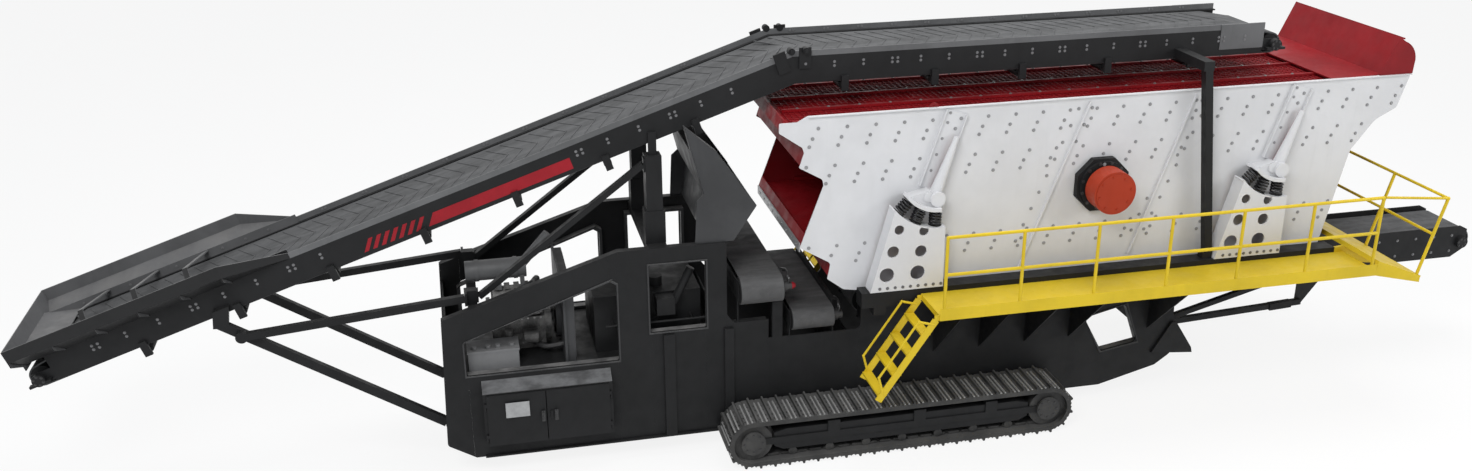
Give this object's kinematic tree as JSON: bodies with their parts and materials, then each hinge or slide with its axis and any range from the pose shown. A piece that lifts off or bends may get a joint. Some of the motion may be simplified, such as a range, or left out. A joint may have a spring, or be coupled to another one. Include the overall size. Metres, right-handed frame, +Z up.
{
  "type": "vibrating screen",
  "caption": "Tracked mobile vibrating screen with a knee-bent feed conveyor over a sprung multi-deck screen box, walkways, power unit and fines conveyor.",
  "frame": {"origin": "bottom centre of the whole machine, on the ground between the tracks", "axes": "+X along the machine from the feed hopper to the fines conveyor head, +Y to the side away from the control cabinet, +Z up"},
  "size_m": [19.5742, 4.16, 5.16],
  "materials": {
    "track_steel": "worn, dusty steel",
    "charcoal_paint": "satin charcoal paint with dust and scuffs",
    "grey_paint": "satin grey paint",
    "engine_iron": "painted casting, oily",
    "belt_rubber": "dusty grey conveyor rubber",
    "white_paint": "off-white paint with light dust",
    "red_paint": "deep red paint, rubbed on the edges",
    "orange_paint": "orange-red paint",
    "spring_steel": "black coated spring steel",
    "yellow_paint": "warm yellow safety paint"
  },
  "bodies": {
    "chassis": {"track_belts": "track_steel", "track_wheels": "track_steel", "track_frames": "charcoal_paint", "track_cross_beams": "charcoal_paint", "near_side_plate": "charcoal_paint", "far_side_plate": "charcoal_paint", "chassis_edges": "charcoal_paint", "chassis_cross_plates": "charcoal_paint", "screen_bearers": "charcoal_paint", "control_cabinet": "charcoal_paint", "incline_stringers": "charcoal_paint", "level_stringers": "charcoal_paint", "belt_rollers": "charcoal_paint", "tail_pulley": "charcoal_paint", "head_pulley": "charcoal_paint", "lower_struts": "charcoal_paint", "upper_struts": "charcoal_paint", "diagonal_braces": "charcoal_paint", "conveyor_posts": "charcoal_paint", "conveyor_legs": "charcoal_paint", "cross_conveyor_frames": "charcoal_paint", "walkway_brackets": "charcoal_paint", "fines_stringers": "charcoal_paint", "fines_pulley": "charcoal_paint", "fines_struts": "charcoal_paint", "radiator": "grey_paint", "battery_box": "grey_paint", "muffler": "grey_paint", "hydraulic_tank": "grey_paint", "skirt_plates": "grey_paint", "feed_hopper": "grey_paint", "discharge_chute": "grey_paint", "engine": "engine_iron", "feed_belt": "belt_rubber", "cross_belts": "belt_rubber", "fines_belt": "belt_rubber", "spring_pedestals": "white_paint", "springs": "spring_steel", "walkways": "yellow_paint", "railings": "yellow_paint", "ladders": "yellow_paint", "rear_platform": "yellow_paint", "rear_railing": "yellow_paint"},
    "screen_box": {"screen_near_plate": "white_paint", "screen_far_plate": "white_paint", "top_deck": "red_paint", "middle_deck": "red_paint", "bottom_deck": "red_paint", "fines_pan": "red_paint", "feed_box": "red_paint", "exciter": "charcoal_paint", "exciter_caps": "orange_paint", "spring_brackets": "white_paint"},
    "left_cabinet_door": {"left_door": "charcoal_paint"},
    "right_cabinet_door": {"right_door": "charcoal_paint"}
  },
  "joints": [
    {"name": "screen_bounce", "type": "slide", "parent": "chassis", "child": "screen_box", "axis": [0, 0, 1], "range_m": [-0.012, 0.012], "stiffness_N_per_m": 3337000, "springref_m": 0.0317, "deforming": ["springs"]},
    {"name": "left_door_hinge", "type": "hinge", "parent": "chassis", "child": "left_cabinet_door", "pos_m": [-4.5198, -1.116, 0.85], "axis": [0, 0, -1], "range_deg": [0, 110]},
    {"name": "right_door_hinge", "type": "hinge", "parent": "chassis", "child": "right_cabinet_door", "pos_m": [-2.9758, -1.116, 0.85], "axis": [0, 0, 1], "range_deg": [0, 110]}
  ]
}
